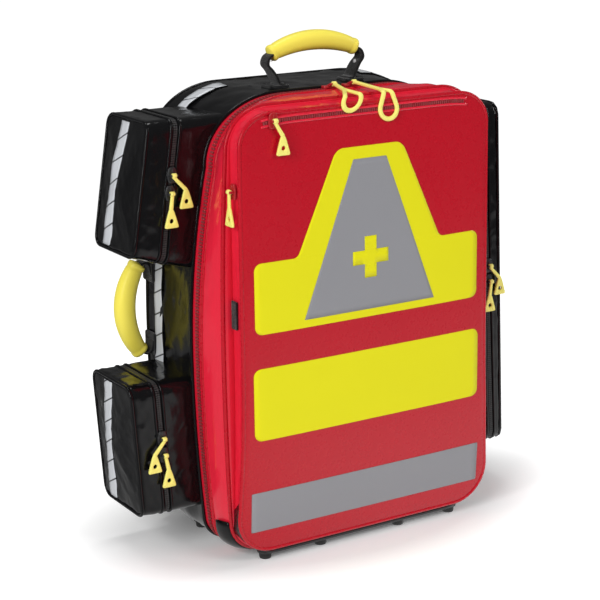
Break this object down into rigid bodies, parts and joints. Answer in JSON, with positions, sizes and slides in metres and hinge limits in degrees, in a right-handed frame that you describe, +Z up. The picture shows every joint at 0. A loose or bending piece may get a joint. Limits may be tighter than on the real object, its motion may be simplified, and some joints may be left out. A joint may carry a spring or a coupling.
{
  "type": "trauma backpack",
  "caption": "Upright emergency backpack: black shell, red clamshell lid with front pocket, side pockets, carrying grips, zip pulls, padded harness and module pouches.",
  "frame": {"origin": "on the floor under the middle of the pack, feet on Z = 0", "axes": "+Z up, the lid and front pocket face -Y, the harness faces +Y, and the two short pockets are on -X"},
  "size_m": [0.523, 0.2604, 0.5895],
  "materials": {
    "black_tarp": "glossy coated fabric",
    "red_tarp": "glossy coated fabric",
    "red_zip": "woven zip tape",
    "retro_silver": "retro-reflective film",
    "hi_vis_yellow": "reflective film",
    "webbing": "woven webbing",
    "foot_rubber": "matt",
    "grip_yellow": "soft moulded",
    "pull_yellow": "soft moulded",
    "hard_black": "moulded",
    "board": "smooth",
    "lining_grey": "loop lining",
    "pad_black": "air mesh",
    "pouch_red": "coated fabric",
    "pouch_yellow": "coated fabric",
    "pouch_blue": "coated fabric",
    "pouch_green": "coated fabric",
    "clear_film": "clear film",
    "slider_red": "lacquered"
  },
  "bodies": {
    "shell": {"shell_body": "black_tarp", "shell_zip_tape": "red_zip", "reflective_tapes": "retro_silver", "base_guard_rear": "hard_black", "rear_feet": "foot_rubber", "frame_sheet": "board", "loop_lining": "lining_grey", "shelves": "lining_grey", "pouch_red": "pouch_red", "pouch_yellow": "pouch_yellow", "pouch_blue": "pouch_blue", "pouch_green": "pouch_green", "pouch_clear": "clear_film", "top_handle_tabs": "webbing", "side_handle_tabs": "webbing", "upper_pocket_base": "black_tarp", "lower_pocket_base": "black_tarp", "long_pocket_base": "black_tarp", "back_pads": "pad_black", "shoulder_strap_left": "pad_black", "shoulder_strap_right": "pad_black", "strap_webbing": "webbing", "strap_adjusters": "hard_black", "chest_webbing": "webbing", "chest_buckle_socket": "hard_black", "hip_belt": "webbing", "hip_buckle_socket": "hard_black"},
    "lid": {"lid_zip_tape": "red_zip", "lid_gusset": "red_tarp", "lid_face": "red_tarp", "lid_pockets": "clear_film", "front_panel": "red_tarp", "corner_guards": "black_tarp", "base_guard_front": "hard_black", "front_feet": "foot_rubber", "panel_patches": "hi_vis_yellow", "blank_label": "webbing"},
    "top_handle": {"top_handle_webbing": "webbing", "top_grip": "grip_yellow"},
    "side_handle": {"side_handle_webbing": "webbing", "side_grip": "grip_yellow"},
    "upper_cover": {"upper_pocket_cover": "black_tarp"},
    "lower_cover": {"lower_pocket_cover": "black_tarp"},
    "long_cover": {"long_pocket_cover": "black_tarp"},
    "upper_front_tag": {"upper_pull_front": "pull_yellow"},
    "upper_rear_tag": {"upper_pull_rear": "pull_yellow"},
    "lower_front_tag": {"lower_pull_front": "pull_yellow"},
    "lower_rear_tag": {"lower_pull_rear": "pull_yellow"},
    "long_front_tag": {"long_pull_front": "pull_yellow"},
    "long_rear_tag": {"long_pull_rear": "pull_yellow"},
    "left_slider": {"main_slider_left": "slider_red"},
    "right_slider": {"main_slider_right": "slider_red"},
    "left_loop": {"main_pull_left": "pull_yellow"},
    "right_loop": {"main_pull_right": "pull_yellow"},
    "front_zip_slider": {"front_slider": "slider_red"},
    "front_tag": {"front_pull": "pull_yellow"},
    "gusset_zip_slider": {"gusset_slider": "slider_red"},
    "gusset_tag": {"gusset_pull": "pull_yellow"},
    "chest_plug": {"chest_buckle_plug": "hard_black"},
    "hip_plug": {"hip_buckle_plug": "hard_black"}
  },
  "joints": [
    {"name": "lid_hinge", "type": "hinge", "parent": "shell", "child": "lid", "pos_m": [0, -0.053, 0.0115], "axis": [1, 0, 0], "range_deg": [0, 90]},
    {"name": "top_handle_swing", "type": "hinge", "parent": "shell", "child": "top_handle", "pos_m": [0, -0.0075, 0.535], "axis": [1, 0, 0], "range_deg": [-50, 50]},
    {"name": "side_handle_swing", "type": "hinge", "parent": "shell", "child": "side_handle", "pos_m": [-0.192, 0.06, 0.2735], "axis": [0, 0, 1], "range_deg": [-30, 30]},
    {"name": "upper_cover_hinge", "type": "hinge", "parent": "shell", "child": "upper_cover", "pos_m": [-0.219, 0.06, 0.358], "axis": [-0.1516, 0, -0.9884], "range_deg": [0, 100]},
    {"name": "lower_cover_hinge", "type": "hinge", "parent": "shell", "child": "lower_cover", "pos_m": [-0.223, 0.06, 0.054], "axis": [0.0569, 0, -0.9984], "range_deg": [0, 100]},
    {"name": "long_cover_hinge", "type": "hinge", "parent": "shell", "child": "long_cover", "pos_m": [0.242, 0.06, 0.051], "axis": [-0.0458, 0, 0.9989], "range_deg": [0, 100]},
    {"name": "upper_front_tag_swing", "type": "hinge", "parent": "upper_cover", "child": "upper_front_tag", "pos_m": [-0.2052, -0.0481, 0.448], "axis": [-1, 0, 0], "range_deg": [0, 110]},
    {"name": "upper_rear_tag_swing", "type": "hinge", "parent": "upper_cover", "child": "upper_rear_tag", "pos_m": [-0.20827, -0.0481, 0.428], "axis": [-1, 0, 0], "range_deg": [0, 110]},
    {"name": "lower_front_tag_swing", "type": "hinge", "parent": "lower_cover", "child": "lower_front_tag", "pos_m": [-0.22835, -0.0481, 0.148], "axis": [-1, 0, 0], "range_deg": [0, 110]},
    {"name": "lower_rear_tag_swing", "type": "hinge", "parent": "lower_cover", "child": "lower_rear_tag", "pos_m": [-0.22722, -0.0481, 0.128], "axis": [-1, 0, 0], "range_deg": [0, 110]},
    {"name": "long_front_tag_swing", "type": "hinge", "parent": "long_cover", "child": "long_front_tag", "pos_m": [0.23127, -0.0481, 0.285], "axis": [-1, 0, 0], "range_deg": [0, 110]},
    {"name": "long_rear_tag_swing", "type": "hinge", "parent": "long_cover", "child": "long_rear_tag", "pos_m": [0.23218, -0.0481, 0.265], "axis": [-1, 0, 0], "range_deg": [0, 110]},
    {"name": "left_slider_travel", "type": "slide", "parent": "lid", "child": "left_slider", "axis": [-1, 0, 0], "range_m": [0, 0.045]},
    {"name": "right_slider_travel", "type": "slide", "parent": "lid", "child": "right_slider", "axis": [1, 0, 0], "range_m": [0, 0.04]},
    {"name": "left_loop_swing", "type": "hinge", "parent": "left_slider", "child": "left_loop", "pos_m": [-0.006, -0.062, 0.5335], "axis": [-1, 0, 0], "range_deg": [0, 95]},
    {"name": "right_loop_swing", "type": "hinge", "parent": "right_slider", "child": "right_loop", "pos_m": [0.021, -0.062, 0.5335], "axis": [-1, 0, 0], "range_deg": [0, 95]},
    {"name": "front_slider_travel", "type": "slide", "parent": "lid", "child": "front_zip_slider", "axis": [1, 0, 0], "range_m": [0, 0.08]},
    {"name": "front_tag_swing", "type": "hinge", "parent": "front_zip_slider", "child": "front_tag", "pos_m": [-0.124, -0.1301, 0.511], "axis": [-1, 0, 0], "range_deg": [0, 110]},
    {"name": "gusset_slider_travel", "type": "slide", "parent": "lid", "child": "gusset_zip_slider", "axis": [0, 0, -1], "range_m": [0, 0.11]},
    {"name": "gusset_tag_swing", "type": "hinge", "parent": "gusset_zip_slider", "child": "gusset_tag", "pos_m": [-0.1714, -0.1095, 0.436], "axis": [0, 1, 0], "range_deg": [0, 110]},
    {"name": "chest_buckle_release", "type": "slide", "parent": "shell", "child": "chest_plug", "axis": [1, 0, 0], "range_m": [0, 0.022]},
    {"name": "hip_buckle_release", "type": "slide", "parent": "shell", "child": "hip_plug", "axis": [1, 0, 0], "range_m": [0, 0.03]}
  ]
}
